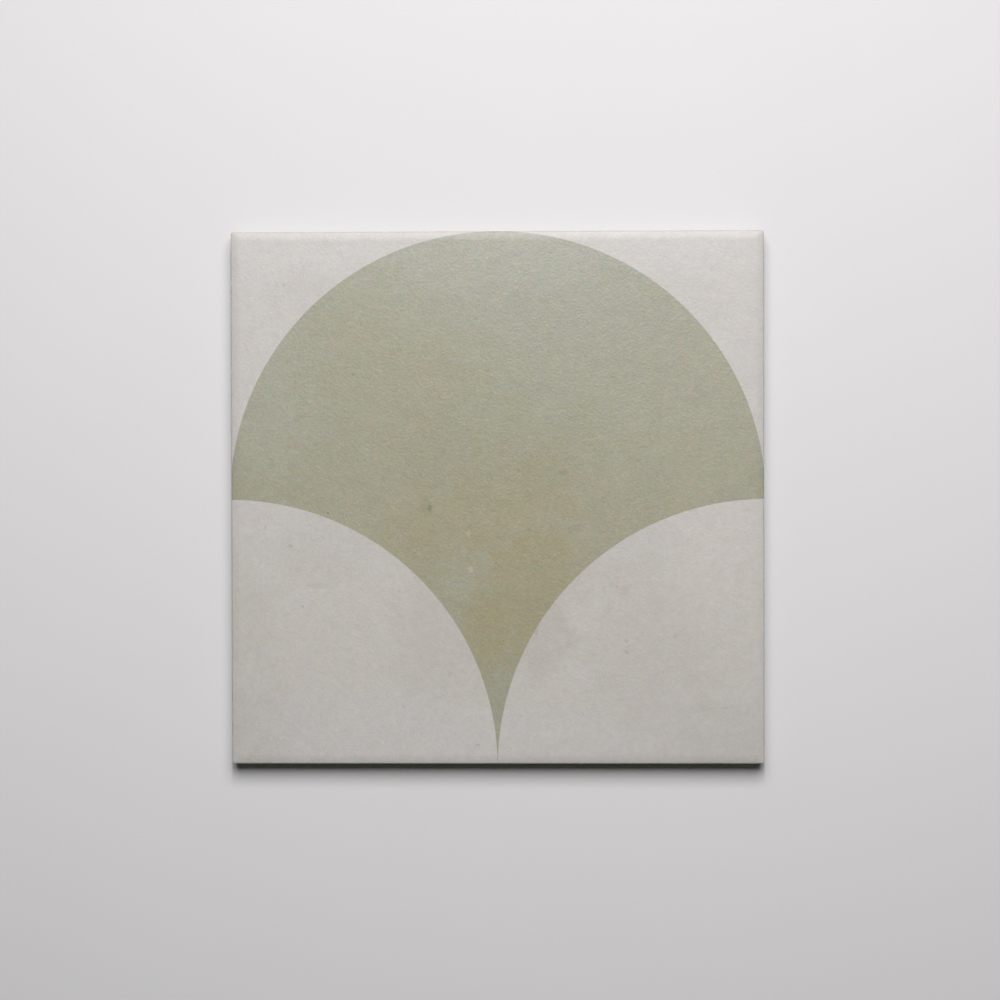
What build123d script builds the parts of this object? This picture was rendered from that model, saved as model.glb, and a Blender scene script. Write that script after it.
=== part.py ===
from build123d import *

import math
import os

# A square pressed porcelain tile: a flat printed face with cushioned edges, upright sides that
# lean in towards the back, and a back keyed with shallow square pockets between ribs.
# It is fired as one piece and lies on its back. +Z is out of the face, +Y is the way the
# printed fan opens, and the origin is the centre of the back. Sizes are in millimetres.

# Outline
TILE_WIDTH = 200.0  # along X
TILE_LENGTH = 200.0  # along Y
THICKNESS = 8.5  # from the ribs of the back to the flat of the face
CORNER_RADIUS = 0.8  # upright corners, seen from above

# Cushioned edge of the face
CUSHION_WIDTH = 3.6  # from the side to where the face is flat
CUSHION_SLOPE = 11.0  # degrees below level at the rim
CUSHION_RADIUS = 14.0  # blend between the flat and the sloping rim
ARRIS_RADIUS = 0.6  # round between the sloping rim and the side

# Sides
FLANK_HEIGHT = 3.6  # the part of the side, next to the back, that leans in
FLANK_INSET = 0.5  # how far the outline of the back lies inside that of the face
BACK_EDGE_RADIUS = 0.25  # round between the flank and the back

# Keyed back
POCKET_SIDE = 28.5
POCKET_DEPTH = 0.7
POCKET_CORNER_RADIUS = 3.0
POCKET_DRAFT = 30.0  # degrees from upright, so that the punch lets go
RIB_WIDTH = 3.5  # between neighbouring pockets
RIM_WIDTH = 4.0  # least plain margin between the pockets and the edge of the back

UPRIGHT_TOLERANCE = 1e-6  # rise of the normal of a face that still counts as upright


def upright_faces(solid):
    """The faces all round the solid that stand upright."""
    return solid.faces().filter_by(lambda face: abs(face.normal_at().Z) < UPRIGHT_TOLERANCE)


def hipped_section(span, plane, reach):
    """Outline of a bar with a level top and sloping shoulders that run out past the span by reach."""
    slope = math.tan(math.radians(CUSHION_SLOPE))
    crease = CUSHION_WIDTH - CUSHION_RADIUS * math.tan(math.radians(CUSHION_SLOPE / 2))
    outer = span / 2 + reach
    shoulder = THICKNESS - (crease + reach) * slope
    outline = Polyline(
        (-outer, 0),
        (outer, 0),
        (outer, shoulder),
        (span / 2 - crease, THICKNESS),
        (crease - span / 2, THICKNESS),
        (-outer, shoulder),
        close=True,
    )
    return plane * make_face(outline)


def cushion_crown():
    """A hipped block, wider than the tile, whose creases and hips are blended into a soft cushion."""
    reach = CUSHION_WIDTH
    across = extrude(hipped_section(TILE_WIDTH, Plane.XZ, reach), TILE_LENGTH / 2 + reach, both=True)
    along = extrude(hipped_section(TILE_LENGTH, Plane.YZ, reach), TILE_WIDTH / 2 + reach, both=True)
    crown = across & along
    by_height = crown.edges().group_by(Axis.Z)
    creases = by_height[-1]
    hips = by_height[-2]
    return fillet(creases + hips, CUSHION_RADIUS)


def sided_block():
    """The tile's outline: an upright band over a flank that leans in to the smaller back."""
    outline = RectangleRounded(TILE_WIDTH, TILE_LENGTH, CORNER_RADIUS)
    waist = Plane.XY.offset(FLANK_HEIGHT)
    band = extrude(waist * outline, THICKNESS - FLANK_HEIGHT)
    foot = extrude(outline, FLANK_HEIGHT)
    lean = math.degrees(math.atan(FLANK_INSET / FLANK_HEIGHT))
    return band + draft(upright_faces(foot), waist, -lean)


def back_pockets():
    """The shallow pockets of the back, as many as fit between its rims."""
    pitch = POCKET_SIDE + RIB_WIDTH
    back_width = TILE_WIDTH - 2 * FLANK_INSET
    back_length = TILE_LENGTH - 2 * FLANK_INSET
    columns = int((back_width - 2 * RIM_WIDTH + RIB_WIDTH) / pitch)
    rows = int((back_length - 2 * RIM_WIDTH + RIB_WIDTH) / pitch)
    mouth = RectangleRounded(POCKET_SIDE, POCKET_SIDE, POCKET_CORNER_RADIUS)
    pocket = extrude(mouth, POCKET_DEPTH, taper=POCKET_DRAFT)
    return GridLocations(pitch, pitch, columns, rows) * pocket


def porcelain_tile():
    """The whole tile as one solid."""
    body = sided_block() & cushion_crown()
    back_outline = body.faces().sort_by(Axis.Z)[0].outer_wire().edges()
    body = fillet(back_outline, BACK_EDGE_RADIUS)
    rim_height = THICKNESS - CUSHION_WIDTH * math.tan(math.radians(CUSHION_SLOPE))
    side_edges = upright_faces(body).edges()
    rim = [edge for edge in side_edges if edge.bounding_box().min.Z > rim_height - ARRIS_RADIUS]
    body = fillet(rim, ARRIS_RADIUS)
    return body - back_pockets()


os.makedirs("parts", exist_ok=True)
export_step(porcelain_tile(), "parts/porcelain_tile.step")
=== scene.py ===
import math

import bpy
import numpy as np
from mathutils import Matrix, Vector, noise


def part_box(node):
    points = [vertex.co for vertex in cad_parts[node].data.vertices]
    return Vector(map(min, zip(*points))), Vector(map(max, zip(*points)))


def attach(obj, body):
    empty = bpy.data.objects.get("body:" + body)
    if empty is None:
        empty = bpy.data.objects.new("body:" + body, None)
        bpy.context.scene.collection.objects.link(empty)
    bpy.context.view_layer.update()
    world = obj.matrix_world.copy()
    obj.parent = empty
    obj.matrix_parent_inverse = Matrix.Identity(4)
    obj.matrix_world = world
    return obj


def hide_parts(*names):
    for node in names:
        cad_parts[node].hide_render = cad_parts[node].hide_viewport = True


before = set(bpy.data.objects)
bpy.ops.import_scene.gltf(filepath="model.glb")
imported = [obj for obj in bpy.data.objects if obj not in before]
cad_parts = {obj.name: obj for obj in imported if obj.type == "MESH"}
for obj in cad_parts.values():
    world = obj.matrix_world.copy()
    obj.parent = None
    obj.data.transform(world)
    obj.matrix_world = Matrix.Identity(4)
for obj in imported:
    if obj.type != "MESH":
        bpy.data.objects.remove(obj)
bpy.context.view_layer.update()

# Sizes are in millimetres, as on the tile's drawing, and MM turns them into the frame's metres.
# The tile lies on its back with the printed face up, and the fan opens towards +Y.
MM = 0.001
NODE = "porcelain_tile"
node_low, node_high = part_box(NODE)
HALF = (node_high.x - node_low.x) / 2 / MM
THICKNESS = (node_high.z - node_low.z) / MM

# Section of the tile, as in the solid
CORNER_RADIUS = 0.8
CUSHION_WIDTH = 3.6
CUSHION_SLOPE = math.radians(11.0)
CUSHION_RADIUS = 14.0
HIP_POWER = 3.0  # how softly two cushions run together at a corner
ARRIS_RADIUS = 0.6
FLANK_HEIGHT = 3.6
FLANK_INSET = 0.5
BACK_EDGE_RADIUS = 0.25
POCKET_SIDE = 28.5
POCKET_DEPTH = 0.7
POCKET_CORNER_RADIUS = 3.0
POCKET_DRAFT = math.radians(30.0)
RIB_WIDTH = 3.5
POCKETS_PER_SIDE = 6

# Fineness of the mesh
GRID_STEP = 0.75  # between grid lines in the middle of the face
ARRIS_STEPS = 6
CUSHION_STEPS = 5
BAND_STEPS = 3
FLANK_STEPS = 2
BACK_EDGE_STEPS = 3
POCKET_BEND_STEPS = 3
POCKET_FLOOR_STEPS = 6
SHARP_ANGLE = math.radians(35.0)  # edges that turn by more than this stay crisp
TOUCHING = 1e-6  # a grid point this close past a corner square still belongs to it

# Pressed relief of the face: (size of its hollows, height)
RELIEF = ((8.0, 0.03), (3.0, 0.02))
RELIEF_FADE = 0.5  # the relief dies away over this distance from the outline
RELIEF_APART = 7.3  # how far apart in the noise its layers are taken

# Printed fan: arcs of one radius, a little larger than half the tile, so that the print bleeds off it
FAN_RADIUS = 100.6
FAN_CENTRE_Y = -0.62
INK_EDGE = 0.16  # half the width over which one ink gives way to the other
INK_RAG = (1.4, 3.0, 0.70, 0.24)  # raggedness of that edge, as the noise in the print


def srgb(red, green, blue):
    """A colour given from 0 to 255, as the linear numbers that shaders take."""
    def linear(level):
        share = level / 255
        return share / 12.92 if share <= 0.04045 else ((share + 0.055) / 1.055) ** 2.4
    return (linear(red), linear(green), linear(blue), 1.0)


# Mesh of the tile

def face_lines():
    """Where the face's grid lines lie along one side: close together over the rim, even in the middle."""
    turn = np.linspace(math.pi / 2, CUSHION_SLOPE, ARRIS_STEPS + 1)
    arris = ARRIS_RADIUS * (1 - np.sin(turn))
    cushion = np.linspace(arris[-1], CUSHION_WIDTH, CUSHION_STEPS + 1)[1:]
    inset = np.concatenate([arris, cushion])
    flat = HALF - CUSHION_WIDTH
    middle = np.linspace(-flat, flat, round(2 * flat / GRID_STEP) + 1)[1:-1]
    return np.concatenate([inset - HALF, middle, (HALF - inset)[::-1]])


def cushion_drop(inset):
    """How far the cushioned face lies below its flat, at a distance inside one side."""
    straight = CUSHION_WIDTH - CUSHION_RADIUS * math.sin(CUSHION_SLOPE)
    reach = CUSHION_WIDTH - np.clip(inset, straight, CUSHION_WIDTH)
    bend = CUSHION_RADIUS - np.sqrt(CUSHION_RADIUS**2 - reach**2)
    return bend + np.maximum(straight - inset, 0) * math.tan(CUSHION_SLOPE)


def arris_drop(inset):
    """How far the rounded arris lies below the sloping rim, at a distance inside the outline."""
    tangent = ARRIS_RADIUS * (1 - math.sin(CUSHION_SLOPE))
    near = np.clip(inset, 0, tangent)
    arc = np.sqrt(ARRIS_RADIUS**2 - (ARRIS_RADIUS - near) ** 2)
    return ARRIS_RADIUS * math.cos(CUSHION_SLOPE) - arc - (tangent - near) * math.tan(CUSHION_SLOPE)


def round_corners(x, y, start, radius):
    """Moves the grid points of the corner squares, which begin at start, on to quarter discs."""
    across = (np.abs(x) - start) / radius
    along = (np.abs(y) - start) / radius
    far = np.maximum(across, along)
    moved = (np.minimum(across, along) > 0) & (far <= 1 + TOUCHING)
    safe = np.where(moved, far, 1.0)
    angle = np.where(across >= along, along / safe, 2 - across / safe) * math.pi / 4
    new_x = np.sign(x) * (start + radius * far * np.cos(angle))
    new_y = np.sign(y) * (start + radius * far * np.sin(angle))
    return np.where(moved, new_x, x), np.where(moved, new_y, y)


def relief(x, y, inset):
    """Height of the pressed, leathery relief of the face."""
    height = np.zeros_like(x)
    for layer, (size, amount) in enumerate(RELIEF):
        for index in np.ndindex(x.shape):
            spot = Vector((x[index] / size, y[index] / size, RELIEF_APART * layer))
            height[index] += amount * noise.noise(spot)
    return height * np.clip(inset / RELIEF_FADE, 0, 1)


def grid_quads(rows, columns, first, upward):
    """The quads of a grid of points that are numbered row by row from first."""
    start = first + np.arange(rows - 1)[:, None] * columns + np.arange(columns - 1)[None, :]
    corners = [start, start + 1, start + columns + 1, start + columns]
    if not upward:
        corners.reverse()
    return np.stack(corners, -1).reshape(-1, 4).tolist()


def border(rows, columns):
    """The numbers of a grid's outer points, once round, counterclockwise seen from above."""
    numbers = np.arange(rows * columns).reshape(rows, columns)
    return np.concatenate(
        [numbers[0, :-1], numbers[:-1, -1], numbers[-1, :0:-1], numbers[:0:-1, 0]]
    )


def face_grid():
    """Points of the printed face, its cushioned rim and its arris, row by row."""
    lines = face_lines()
    grid_x, grid_y = np.meshgrid(lines, lines)
    inset = HALF - np.maximum(np.abs(grid_x), np.abs(grid_y))
    x, y = round_corners(grid_x, grid_y, HALF - CORNER_RADIUS, CORNER_RADIUS)
    sides = cushion_drop(HALF - np.abs(x)) ** HIP_POWER + cushion_drop(HALF - np.abs(y)) ** HIP_POWER
    z = THICKNESS - sides ** (1 / HIP_POWER) - arris_drop(inset) + relief(x, y, inset)
    return np.stack([x, y, z], -1)


def side_profile():
    """(inset, height) of the side's rings under the upright band, from the waist to the back."""
    heights = np.linspace(FLANK_HEIGHT, BACK_EDGE_RADIUS, FLANK_STEPS + 1)[:-1]
    rings = [(FLANK_INSET * (1 - z / FLANK_HEIGHT), z) for z in heights]
    lean = math.atan(FLANK_INSET / FLANK_HEIGHT)
    centre = FLANK_INSET + BACK_EDGE_RADIUS * (1 - math.sin(lean)) / math.cos(lean)
    for turn in np.linspace(lean, math.pi / 2, BACK_EDGE_STEPS + 1):
        inset = centre - BACK_EDGE_RADIUS * math.cos(turn)
        rings.append((inset, BACK_EDGE_RADIUS * (1 - math.sin(turn))))
    return rings


def side_rings(rim):
    """Rings of points from the rim of the face down the sides to the edge of the back."""
    reach = np.abs(rim[:, :2]) - (HALF - CORNER_RADIUS)
    rounded = reach.min(1, keepdims=True) > 0
    straight = reach == reach.max(1, keepdims=True)
    outward = np.sign(rim[:, :2]) * np.where(rounded, reach / CORNER_RADIUS, straight)
    rings = []
    for share in np.linspace(0, 1, BAND_STEPS + 1)[1:-1]:
        height = rim[:, 2] + share * (FLANK_HEIGHT - rim[:, 2])
        rings.append(np.column_stack([rim[:, :2], height]))
    for inset, height in side_profile():
        spots = rim[:, :2] - inset * outward
        rings.append(np.column_stack([spots, np.full(len(rim), height)]))
    return rings


def back_grid():
    """Points of the keyed back, row by row: ribs on the floor, and shallow pockets between them."""
    pitch = POCKET_SIDE + RIB_WIDTH
    mouth = POCKET_SIDE / 2
    floor = mouth - POCKET_DEPTH * math.tan(POCKET_DRAFT)
    bend = mouth - POCKET_CORNER_RADIUS
    bends = np.append(np.linspace(bend, floor, POCKET_BEND_STEPS), mouth)
    middle = np.linspace(-bend, bend, POCKET_FLOOR_STEPS + 1)[1:-1]
    cell = np.concatenate([[-pitch / 2], -bends[::-1], middle, bends])
    centres = (np.arange(POCKETS_PER_SIDE) - (POCKETS_PER_SIDE - 1) / 2) * pitch
    last = centres[-1] + pitch / 2
    local = np.append(np.tile(cell, POCKETS_PER_SIDE), pitch / 2)
    shift = np.append(np.repeat(centres, len(cell)), last - pitch / 2)
    local_x, local_y = np.meshgrid(local, local)
    shift_x, shift_y = np.meshgrid(shift, shift)
    deep = np.maximum(np.abs(local_x), np.abs(local_y)) < (floor + mouth) / 2
    x, y = round_corners(local_x, local_y, bend, POCKET_CORNER_RADIUS)
    return np.stack([x + shift_x, y + shift_y, np.where(deep, POCKET_DEPTH, 0.0)], -1)


def zipped(points, outer, inner):
    """Triangles that fill the flat ring between two closed loops, both counterclockwise from above."""
    def by_angle(loop):
        angles = np.arctan2(points[loop, 1], points[loop, 0])
        order = np.argsort(angles)
        return list(loop[order]), list(angles[order])
    outer, outer_at = by_angle(outer)
    inner, inner_at = by_angle(inner)
    faces = []
    i = j = 0
    while i < len(outer) or j < len(inner):
        here = outer[i % len(outer)]
        there = inner[j % len(inner)]
        next_outer = outer_at[i + 1] if i + 1 < len(outer) else math.pi
        next_inner = inner_at[j + 1] if j + 1 < len(inner) else math.pi
        if j >= len(inner) or (i < len(outer) and next_outer <= next_inner):
            faces.append([there, outer[(i + 1) % len(outer)], here])
            i += 1
        else:
            faces.append([there, inner[(j + 1) % len(inner)], here])
            j += 1
    return faces


def tile_mesh():
    """The whole tile as one closed mesh, with a map for its colours."""
    front = face_grid()
    rows, columns = front.shape[:2]
    points = [front.reshape(-1, 3)]
    faces = grid_quads(rows, columns, 0, upward=True)
    front_count = len(faces)
    loop = border(rows, columns)
    count = rows * columns
    for ring in side_rings(points[0][loop]):
        points.append(ring)
        below = count + np.arange(len(ring))
        faces += np.stack([loop, below, np.roll(below, -1), np.roll(loop, -1)], -1).tolist()
        loop = below
        count += len(ring)
    side_count = len(faces) - front_count
    back = back_grid()
    rows, columns = back.shape[:2]
    points.append(back.reshape(-1, 3))
    faces += grid_quads(rows, columns, count, upward=False)
    inner = count + border(rows, columns)
    points = np.concatenate(points)
    faces += zipped(points, loop, inner)
    mesh = bpy.data.meshes.new(NODE)
    mesh.from_pydata((points * MM).tolist(), [], faces)
    mesh.polygons.foreach_set("use_smooth", [True] * len(mesh.polygons))
    mesh.set_sharp_from_angle(angle=SHARP_ANGLE)
    lay_out_map(mesh, points, front_count, side_count)
    return mesh


# Layout of the colour map, in shares of its side
MAP_FACE = 0.76
MAP_BACK = 0.22
MAP_GAP = 0.008
MAP_STRIP = 0.045


def lay_out_map(mesh, points, front_count, side_count):
    """Gives the face the largest part of the map, then the four sides as strips, then the back."""
    layer = mesh.uv_layers.new(name="OFBake")
    corners = np.zeros(len(mesh.loops), int)
    mesh.loops.foreach_get("vertex_index", corners)
    sizes = np.zeros(len(mesh.polygons), int)
    mesh.polygons.foreach_get("loop_total", sizes)
    owner = np.repeat(np.arange(len(sizes)), sizes)
    x, y, z = points[corners].T
    lines = face_lines()
    drop = cushion_drop(HALF - np.abs(lines)) + arris_drop(HALF - np.abs(lines))
    unrolled = np.concatenate([[0], np.cumsum(np.hypot(np.diff(lines), np.diff(drop)))])
    length = unrolled[-1]
    uv = np.zeros((len(corners), 2))
    on_face = owner < front_count
    number = corners[on_face]
    place = np.stack([unrolled[number % len(lines)], unrolled[number // len(lines)]], -1)
    uv[on_face] = MAP_GAP + place / length * MAP_FACE
    on_side = ~on_face & (owner < front_count + side_count)
    normals = np.zeros(len(sizes) * 3)
    mesh.polygons.foreach_get("normal", normals)
    facing = normals.reshape(-1, 3)[owner]
    faces_x = np.abs(facing[:, 0]) > np.abs(facing[:, 1])
    away = np.where(faces_x, facing[:, 0] > 0, facing[:, 1] > 0)
    strip = 2 * faces_x + away
    along = np.where(faces_x, y, x)
    scale = MAP_FACE / length
    past_face = MAP_FACE + 2 * MAP_GAP
    uv[on_side, 0] = (MAP_GAP + (along + HALF) * scale)[on_side]
    uv[on_side, 1] = (past_face + strip * MAP_STRIP + z * scale)[on_side]
    on_back = owner >= front_count + side_count
    uv[on_back, 0] = (past_face + (x + HALF) / (2 * HALF) * MAP_BACK)[on_back]
    uv[on_back, 1] = (MAP_GAP + (y + HALF) / (2 * HALF) * MAP_BACK)[on_back]
    layer.data.foreach_set("uv", uv.ravel())


# Shader nodes

class Nodes:
    """Adds nodes to one shader tree. An input is a number, a colour or another node's socket."""

    def __init__(self, tree):
        self.tree = tree
        tree.nodes.clear()

    def add(self, kind, inputs, **settings):
        """A new node with its inputs set or linked."""
        node = self.tree.nodes.new(kind)
        for key, value in settings.items():
            setattr(node, key, value)
        for key, value in inputs.items():
            if isinstance(value, bpy.types.NodeSocket):
                self.tree.links.new(value, node.inputs[key])
            else:
                node.inputs[key].default_value = value
        return node

    def math(self, operation, *values):
        """One step of arithmetic."""
        return self.add("ShaderNodeMath", dict(enumerate(values)), operation=operation).outputs[0]

    def total(self, *values):
        """The sum of the values."""
        result = values[0]
        for value in values[1:]:
            result = self.math("ADD", result, value)
        return result

    def noise(self, place, size, detail, roughness, output="Fac"):
        """Noise from 0 to 1 whose patches are about size across."""
        inputs = {"Vector": place, "Scale": 1 / size, "Detail": detail, "Roughness": roughness}
        return self.add("ShaderNodeTexNoise", inputs).outputs[output]

    def mottle(self, place, size, detail, roughness, swing):
        """Noise that swings about nought."""
        level = self.noise(place, size, detail, roughness)
        return self.math("MULTIPLY_ADD", level, swing, -swing / 2)

    def fade(self, value, start, end, low=0.0, high=1.0):
        """Runs smoothly from low to high while value goes from start to end."""
        inputs = {"Value": value, "From Min": start, "From Max": end, "To Min": low, "To Max": high}
        node = self.add("ShaderNodeMapRange", inputs, interpolation_type="SMOOTHSTEP")
        return node.outputs["Result"]

    def mix(self, share, first, second):
        """One colour giving way to another. The numbers are the colour sockets of the node."""
        node = self.add("ShaderNodeMix", {0: share, 6: first, 7: second}, data_type="RGBA")
        return node.outputs[2]

    def scaled(self, vector, amount):
        """A vector or colour times a number."""
        inputs = {0: vector, "Scale": amount}
        return self.add("ShaderNodeVectorMath", inputs, operation="SCALE").outputs[0]

    def turned(self, spot, turn):
        """The spot turned about the origin."""
        return self.add("ShaderNodeMapping", {"Vector": spot, "Rotation": turn}).outputs[0]

    def backdrop_rays(self):
        """1 for the rays that meet the pale backdrop: camera, reflected and transmitted rays."""
        path = self.tree.nodes.new("ShaderNodeLightPath")
        seen = path.outputs["Is Camera Ray"]
        for kind in ("Is Glossy Ray", "Is Transmission Ray"):
            seen = self.math("MAXIMUM", seen, path.outputs[kind])
        return seen


def new_material(name):
    """A material without nodes, and what adds nodes to it."""
    material = bpy.data.materials.new(name)
    material.use_nodes = True
    return material, Nodes(material.node_tree)


# Tones of the print. The cool tones are also laid along the top as painted sheen, and the greenish deep
# tone of the ground is painted shade in the lower corners
SAGE = srgb(155, 152.5, 134)
COOL_SAGE_AND_SHEEN = srgb(163.5, 162, 151.5)
# a cooler, lighter sage of the print, which is also laid along the top of the fan as painted sheen
LIGHT_SAGE = srgb(164, 160, 142)
MIST_SAGE = srgb(163, 162.5, 147)
BLUE_SAGE = srgb(153, 152.5, 142)
WARM_SAGE = srgb(158, 151, 119.5)
DEEP_SAGE = srgb(144, 141, 116.5)
AMBER_SAGE = srgb(152, 141, 102)
GROUND = srgb(194.5, 189, 185.5)
# a cooler, lighter ground of the print, which is also laid in the top corners as painted sheen
COOL_GROUND_AND_SHEEN = srgb(198.5, 194.5, 192)
ROSE_GROUND = srgb(201.5, 193.5, 188.5)
STRAW_GROUND = srgb(196.5, 190, 175)
DEEP_GROUND = srgb(177, 170.5, 164.5)
# painted shade: a darker, greener ground for the lower corners, where the light falls off
PAINTED_SHADE_GROUND = srgb(172, 170, 161)

# Broad washes in each ink, among them painted sheen along the top and painted shade in the lower corners:
# (x, y, half width, half height, strength, tone), in millimetres on the face
SAGE_WASHES = (
    (0, -20, 120, 45, 0.28, WARM_SAGE),
    # painted sheen: the top of the fan, nearest the lamp, is made lighter and cooler
    (-4, 96, 62, 18, 0.66, COOL_SAGE_AND_SHEEN),
    (62, 64, 40, 20, 0.05, COOL_SAGE_AND_SHEEN),
    (22, 70, 60, 15, 0.24, BLUE_SAGE),
    (16, 49, 44, 13, 0.10, DEEP_SAGE),
    (80, 25, 30, 30, 0.24, LIGHT_SAGE),
    (-38, 46, 32, 24, 0.15, AMBER_SAGE),
    (0, 20, 36, 22, 0.30, DEEP_SAGE),
    (4, -3, 26, 19, 0.23, AMBER_SAGE),
    (-33, -6, 14, 12, 0.28, AMBER_SAGE),
    (8, -37, 18, 28, 0.42, AMBER_SAGE),
    (-6, -56, 9, 14, 0.20, AMBER_SAGE),
    (60, 38, 3, 14, 0.14, DEEP_SAGE),
    (-27, -24, 11, 9, 0.20, AMBER_SAGE),
    (28, -26, 9, 7, 0.12, AMBER_SAGE),
    (0, -82, 9, 14, 0.10, LIGHT_SAGE),
)
SAGE_SPECKLES = (
    (-85, 38, 14, 30, 0.40, MIST_SAGE),
    (-56, -6, 20, 10, 0.25, LIGHT_SAGE),
    (-14, -30, 10, 9, 0.28, MIST_SAGE),
    (20, 46, 26, 20, 0.08, COOL_SAGE_AND_SHEEN),
)
GROUND_WASHES = (
    (0, -48, 110, 30, 0.28, STRAW_GROUND),
    (-64, 73, 20, 16, 0.18, DEEP_GROUND),
    (62, 76, 20, 16, 0.16, DEEP_GROUND),
    # painted sheen: the top corners of the ground, nearest the lamp, are made lighter and cooler
    (-84, 96, 40, 12, 0.70, COOL_GROUND_AND_SHEEN),
    (84, 96, 40, 12, 0.68, COOL_GROUND_AND_SHEEN),
    (-62, -20, 20, 12, 0.20, DEEP_GROUND),
    (-21, -48, 18, 32, 0.30, DEEP_GROUND),
    (48, -18, 24, 14, 0.18, DEEP_GROUND),
    (28, -32, 13, 12, 0.25, DEEP_GROUND),
    (14, -48, 13, 22, 0.48, DEEP_GROUND),
    (56, -60, 24, 28, 0.22, DEEP_GROUND),
    # painted shade: darker and greener in the lower corners and along the lower left side, far from the
    # lamp
    (-96, -46, 12, 26, 0.18, PAINTED_SHADE_GROUND),
    (-92, -90, 16, 20, 0.26, PAINTED_SHADE_GROUND),
    (86, -92, 24, 14, 0.22, PAINTED_SHADE_GROUND),
    (-40, -90, 44, 18, 0.50, COOL_GROUND_AND_SHEEN),
    (15, -92, 40, 13, 0.28, COOL_GROUND_AND_SHEEN),
    (84, -14, 20, 32, 0.45, ROSE_GROUND),
)

# Small marks in the print, given in the same way
SMUDGE = srgb(92, 98, 80)
SPECK = srgb(74, 78, 64)
OLIVE = srgb(150, 146, 118)
PALE = srgb(208, 204, 194)
RUST = srgb(176, 134, 112)
GREY = srgb(134, 131, 126)
MARKS = (
    (-25.3, -3.8, 0.8, 1.7, 0.42, SMUDGE),
    (-26.6, -3.4, 2.4, 3.2, 0.12, SMUDGE),
    (-28.6, 8.8, 0.8, 0.7, 0.20, SMUDGE),
    (24.6, 9.4, 2.2, 1.2, 0.20, SMUDGE),
    (-3.0, 7.8, 1.4, 2.0, 0.10, SMUDGE),
    (29.5, -11.5, 2.4, 1.8, 0.08, SMUDGE),
    (-63.6, -5.6, 0.35, 0.35, 0.60, SPECK),
    (-54.0, 46.4, 0.5, 0.6, 0.35, SPECK),
    (-11.5, 25.4, 0.5, 0.5, 0.25, SPECK),
    (8.0, 10.1, 0.5, 0.5, 0.22, SPECK),
    (-10.7, -13.6, 0.7, 1.2, 0.20, PALE),
    (-9.9, -26.8, 0.8, 1.0, 0.32, PALE),
    (47.7, -35.2, 2.2, 2.2, 0.16, RUST),
    (40.1, -34.3, 1.0, 0.9, 0.14, RUST),
    (44.9, -33.4, 0.5, 0.5, 0.35, GREY),
    (66.8, -52.0, 0.8, 1.1, 0.26, RUST),
    (-79.9, 80.1, 0.5, 0.6, 0.40, RUST),
    (-87.2, -11.2, 0.5, 0.8, 0.25, RUST),
    (-84.6, -29.8, 1.2, 0.8, 0.12, RUST),
    (-77.9, -18.0, 0.9, 0.6, 0.35, OLIVE),
    (-67.1, -32.8, 4.0, 1.2, 0.16, OLIVE),
    (-73.3, -40.8, 0.5, 0.5, 0.40, GREY),
    (14.6, -50.2, 0.8, 1.2, 0.28, GREY),
    (48.4, -53.8, 0.8, 0.8, 0.26, GREY),
    (49.3, -55.6, 0.8, 0.5, 0.20, RUST),
    (48.4, -57.9, 0.8, 0.6, 0.26, GREY),
    (-18.0, -66.3, 0.6, 1.0, 0.18, GREY),
    (-7.8, -92.9, 1.2, 0.45, 0.22, GREY),
    (48.2, -77.0, 7.0, 0.35, 0.22, PALE),
)

# Noise in the print: (size of its patches in millimetres, octaves, roughness, swing)
NOISE_TURN = (-0.241, 0.934, 0.489)  # tips the noise on to a corner of its lattice, so that no row shows
WASH_RAG = (11.0, 6.0, 0.72, 5.0)
SPECKLE_RAG = (3.4, 3.0, 0.60, 8.0)
MARK_RAG = (1.3, 3.0, 0.70, 2.4)
SAGE_MOTTLE = ((9.0, 6.0, 0.68, 0.17), (1.8, 3.0, 0.70, 0.23), (0.8, 2.0, 0.60, 0.34))
GROUND_MOTTLE = ((7.0, 6.0, 0.72, 0.12), (2.0, 3.0, 0.65, 0.20), (0.8, 2.0, 0.60, 0.13))
SAGE_HUES = (2.6, 3.0, 0.65, (0.31, 0.19, 0.31))  # with a swing for each of red, green and blue
GROUND_HUES = (3.0, 4.0, 0.75, (0.16, 0.13, 0.17))
GROUND_SPECKS = (1.7, 2.0, 0.60)
SPECKS_FROM = (0.64, 0.76)  # a speck fades in between these levels of its noise
SPECK_STRENGTH = 0.20
PATCH_FADE = 1.9  # squared distance from its middle, in half widths, at which a patch has died away


def fan_mask(nodes, place, x, y):
    """1 in the sage fan and 0 in the pale ground, with the slightly ragged edge of a printed ink."""
    up = nodes.math("SUBTRACT", y, FAN_CENTRE_Y)

    def length(across, along):
        square = nodes.math("MULTIPLY", across, across)
        return nodes.math("SQRT", nodes.math("MULTIPLY_ADD", along, along, square))

    arch = nodes.math("SUBTRACT", FAN_RADIUS, length(x, up))
    side = nodes.math("SUBTRACT", nodes.math("ABSOLUTE", x), FAN_RADIUS)
    scallop = nodes.math("SUBTRACT", length(side, nodes.math("ADD", up, FAN_RADIUS)), FAN_RADIUS)
    inside = nodes.math("MINIMUM", arch, scallop)
    return nodes.fade(nodes.math("ADD", inside, nodes.mottle(place, *INK_RAG)), -INK_EDGE, INK_EDGE)


def patched(nodes, ink, x, y, rag, patches):
    """The ink with oval patches of other tones laid over it, each dying away to a ragged edge."""
    for centre_x, centre_y, half_width, half_height, strength, tone in patches:
        across = nodes.math("MULTIPLY_ADD", x, 1 / half_width, -centre_x / half_width)
        along = nodes.math("MULTIPLY_ADD", y, 1 / half_height, -centre_y / half_height)
        square = nodes.math("MULTIPLY", across, across)
        away = nodes.total(nodes.math("MULTIPLY_ADD", along, along, square), rag)
        ink = nodes.mix(nodes.fade(away, PATCH_FADE, 0.0, 0.0, strength), ink, tone)
    return ink


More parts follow.
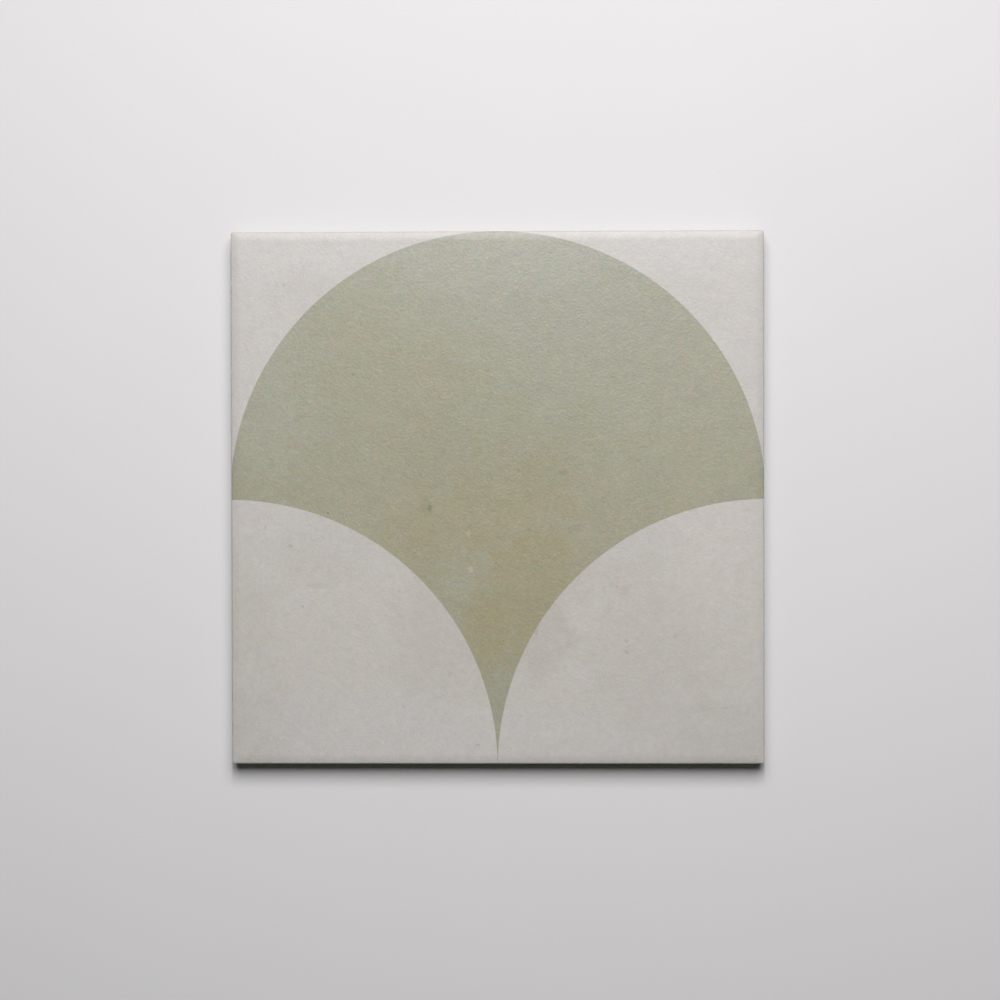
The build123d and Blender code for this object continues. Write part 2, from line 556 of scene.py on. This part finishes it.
def mottled(nodes, ink, place, layers, hues):
    """The ink with patches of lighter and darker tone, and spots of slightly other hues."""
    tone = nodes.total(1.0, *(nodes.mottle(place, *layer) for layer in layers))
    *grain, swing = hues
    hue = nodes.noise(place, *grain, output="Color")
    inputs = {0: hue, 1: swing, 2: [1 - part / 2 for part in swing]}
    tint = nodes.add("ShaderNodeVectorMath", inputs, operation="MULTIPLY_ADD").outputs[0]
    inputs = {0: nodes.scaled(ink, tone), 1: tint}
    return nodes.add("ShaderNodeVectorMath", inputs, operation="MULTIPLY").outputs[0]


def sage_ink(nodes, place, x, y):
    """Sage with cool and amber washes, speckles and fine grain, and a lighter, cooler wash along the top
    of the fan that is painted sheen.
    """
    ink = patched(nodes, SAGE, x, y, nodes.mottle(place, *WASH_RAG), SAGE_WASHES)
    ink = patched(nodes, ink, x, y, nodes.mottle(place, *SPECKLE_RAG), SAGE_SPECKLES)
    return mottled(nodes, ink, place, SAGE_MOTTLE, SAGE_HUES)


def ground_ink(nodes, place, x, y):
    """Off-white with the greyish clouds and scattered specks of old cement, painted sheen that lightens
    and cools the top corners, and painted shade that darkens the lower corners.
    """
    ink = patched(nodes, GROUND, x, y, nodes.mottle(place, *WASH_RAG), GROUND_WASHES)
    specks = nodes.fade(nodes.noise(place, *GROUND_SPECKS), *SPECKS_FROM, 0.0, SPECK_STRENGTH)
    return mottled(nodes, nodes.mix(specks, ink, OLIVE), place, GROUND_MOTTLE, GROUND_HUES)


# Bare fired porcelain of the sides and back
BODY_DARK = srgb(120, 115, 106)
BODY_LIGHT = srgb(138, 133, 123)
BODY_CLOUDS = (5.0, 5.0, 0.65)
BODY_GRAIN = (0.5, 2.0, 0.60, 0.16)
BODY_ROUGHNESS = 0.85

# Matt glaze of the face, which ends in a ragged line a little below the arris
GLAZE_END = (THICKNESS - 1.9, THICKNESS - 1.1)
GLAZE_RAG = (3.0, 3.0, 0.60, 1.4)
GLAZE_ROUGHNESS = 0.42
GLAZE_ROUGHNESS_MOTTLE = (3.5, 4.0, 0.60, 0.16)

# Fine leathery grain pressed into the face
LEATHER = (0.95, 3.0, 0.50)
GRAIN_DEPTH = 0.10
GRAIN_IN_GROUND = 0.7  # depth of the grain under the pale ground, as a share of that under the fan


def bare_body(nodes, place):
    """Colour of the unglazed sides and back."""
    body = nodes.mix(nodes.noise(place, *BODY_CLOUDS), BODY_DARK, BODY_LIGHT)
    return nodes.scaled(body, nodes.total(1.0, nodes.mottle(place, *BODY_GRAIN)))


def pressed_grain(nodes, place, fan):
    """Normal of the grain of the face."""
    height = nodes.noise(place, *LEATHER)
    depth = nodes.math("MULTIPLY_ADD", fan, 1 - GRAIN_IN_GROUND, GRAIN_IN_GROUND)
    inputs = {"Strength": depth, "Distance": GRAIN_DEPTH * MM, "Height": height}
    return nodes.add("ShaderNodeBump", inputs).outputs["Normal"]


def tile_material():
    """Matt printed glaze over the face and arris, and bare fired porcelain on the sides and back."""
    material, nodes = new_material("matt_printed_porcelain")
    coordinates = nodes.tree.nodes.new("ShaderNodeTexCoord")
    spot = nodes.scaled(coordinates.outputs["Object"], 1 / MM)
    axes = nodes.add("ShaderNodeSeparateXYZ", {0: spot})
    x, y, z = (axes.outputs[name] for name in "XYZ")
    place = nodes.turned(spot, NOISE_TURN)

    fan = fan_mask(nodes, place, x, y)
    ink = nodes.mix(fan, ground_ink(nodes, place, x, y), sage_ink(nodes, place, x, y))
    ink = patched(nodes, ink, x, y, nodes.mottle(place, *MARK_RAG), MARKS)
    glaze = nodes.fade(nodes.total(z, nodes.mottle(place, *GLAZE_RAG)), *GLAZE_END)
    colour = nodes.mix(glaze, bare_body(nodes, place), ink)
    glaze_roughness = nodes.total(GLAZE_ROUGHNESS, nodes.mottle(place, *GLAZE_ROUGHNESS_MOTTLE))
    roughness = nodes.fade(glaze, 0.0, 1.0, BODY_ROUGHNESS, glaze_roughness)
    grain = pressed_grain(nodes, place, fan)
    inputs = {"Base Color": colour, "Roughness": roughness, "Normal": grain}
    shader = nodes.add("ShaderNodeBsdfPrincipled", inputs)
    nodes.add("ShaderNodeOutputMaterial", {"Surface": shader.outputs["BSDF"]})
    return material


def add_tile():
    """The tile as it looks, in place of the plain solid."""
    mesh = tile_mesh()
    mesh.materials.append(tile_material())
    tile = bpy.data.objects.new("tile", mesh)
    bpy.context.scene.collection.objects.link(tile)
    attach(tile, "root")
    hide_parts(NODE)


# Studio, in metres
FLOOR_HALF = 4.0
FLOOR_LIT = (0.28, 0.65)  # the lit floor gives way to an even pale backdrop between these distances
FLOOR_COLOUR = srgb(229, 226, 228)
FLOOR_MOTTLE = (0.05, 3.0, 0.60, 0.02)
BACKDROP_COLOUR = srgb(226, 224, 225)
LAMP_Y = 0.494
LAMP_HEIGHT = 0.845
LAMP_TILT = math.radians(44.0)  # from straight down, back towards the tile
LAMP_LENGTH = 0.66
# Name, x, width and power of each lamp
LAMPS = (
    ("key", 0.045, 0.74, 7.9),
    ("strip", 0.019, 0.03, 3.38),
)
FILL_COLOUR = srgb(46, 52, 44)


def floor_material():
    """Pale matt paper, lit near the tile and even further off."""
    material, nodes = new_material("pale_floor")
    coordinates = nodes.tree.nodes.new("ShaderNodeTexCoord")
    place = coordinates.outputs["Object"]
    distance = nodes.add("ShaderNodeVectorMath", {0: place}, operation="LENGTH").outputs["Value"]
    tone = nodes.total(1.0, nodes.mottle(place, *FLOOR_MOTTLE))
    lit = nodes.add("ShaderNodeBsdfDiffuse", {"Color": nodes.scaled(FLOOR_COLOUR[:3], tone)})
    even = nodes.add("ShaderNodeEmission", {"Color": BACKDROP_COLOUR, "Strength": 1.0})
    share = nodes.math("MULTIPLY", nodes.fade(distance, *FLOOR_LIT), nodes.backdrop_rays())
    surface = nodes.add("ShaderNodeMixShader", {0: share, 1: lit.outputs[0], 2: even.outputs[0]})
    nodes.add("ShaderNodeOutputMaterial", {"Surface": surface.outputs[0]})
    return material


def add_floor():
    """A wide level floor under the tile."""
    mesh = bpy.data.meshes.new("floor")
    signs = ((-1, -1), (1, -1), (1, 1), (-1, 1))
    corners = [(FLOOR_HALF * x, FLOOR_HALF * y, 0.0) for x, y in signs]
    mesh.from_pydata(corners, [], [(0, 1, 2, 3)])
    mesh.materials.append(floor_material())
    floor = bpy.data.objects.new("floor", mesh)
    bpy.context.scene.collection.objects.link(floor)


def add_light():
    """A large soft lamp beyond the top of the tile, a strip in its middle and a faint even fill."""
    for name, x, width, power in LAMPS:
        light = bpy.data.lights.new(name, "AREA")
        light.shape = "RECTANGLE"
        light.size = width
        light.size_y = LAMP_LENGTH
        light.energy = power
        lamp = bpy.data.objects.new(name, light)
        lamp.location = (x, LAMP_Y, LAMP_HEIGHT)
        lamp.rotation_euler = (-LAMP_TILT, 0.0, 0.0)
        lamp.visible_camera = False
        bpy.context.scene.collection.objects.link(lamp)
    world = bpy.data.worlds.new("studio")
    world.use_nodes = True
    nodes = Nodes(world.node_tree)
    colour = nodes.mix(nodes.backdrop_rays(), FILL_COLOUR, BACKDROP_COLOUR)
    sky = nodes.add("ShaderNodeBackground", {"Color": colour, "Strength": 1.0})
    nodes.add("ShaderNodeOutputWorld", {"Surface": sky.outputs[0]})
    bpy.context.scene.world = world


# The camera looks straight down, a little off square
CAMERA_PLACE = (0.01966, 0.0094, 0.9)
CAMERA_TURN = (-0.658, 1.195, -0.112)  # degrees about X, Y and Z, Z first
CAMERA_LENS = 85.54
CAMERA_SENSOR = 36.0


def add_camera():
    """The camera, with the whole tile in the middle of its view."""
    data = bpy.data.cameras.new("camera")
    data.sensor_width = CAMERA_SENSOR
    data.lens = CAMERA_LENS
    camera = bpy.data.objects.new("camera", data)
    camera.location = CAMERA_PLACE
    camera.rotation_mode = "ZYX"
    camera.rotation_euler = [math.radians(turn) for turn in CAMERA_TURN]
    bpy.context.scene.collection.objects.link(camera)
    bpy.context.scene.camera = camera


add_tile()
add_floor()
add_light()
add_camera()
bpy.context.scene.view_settings.view_transform = "Standard"
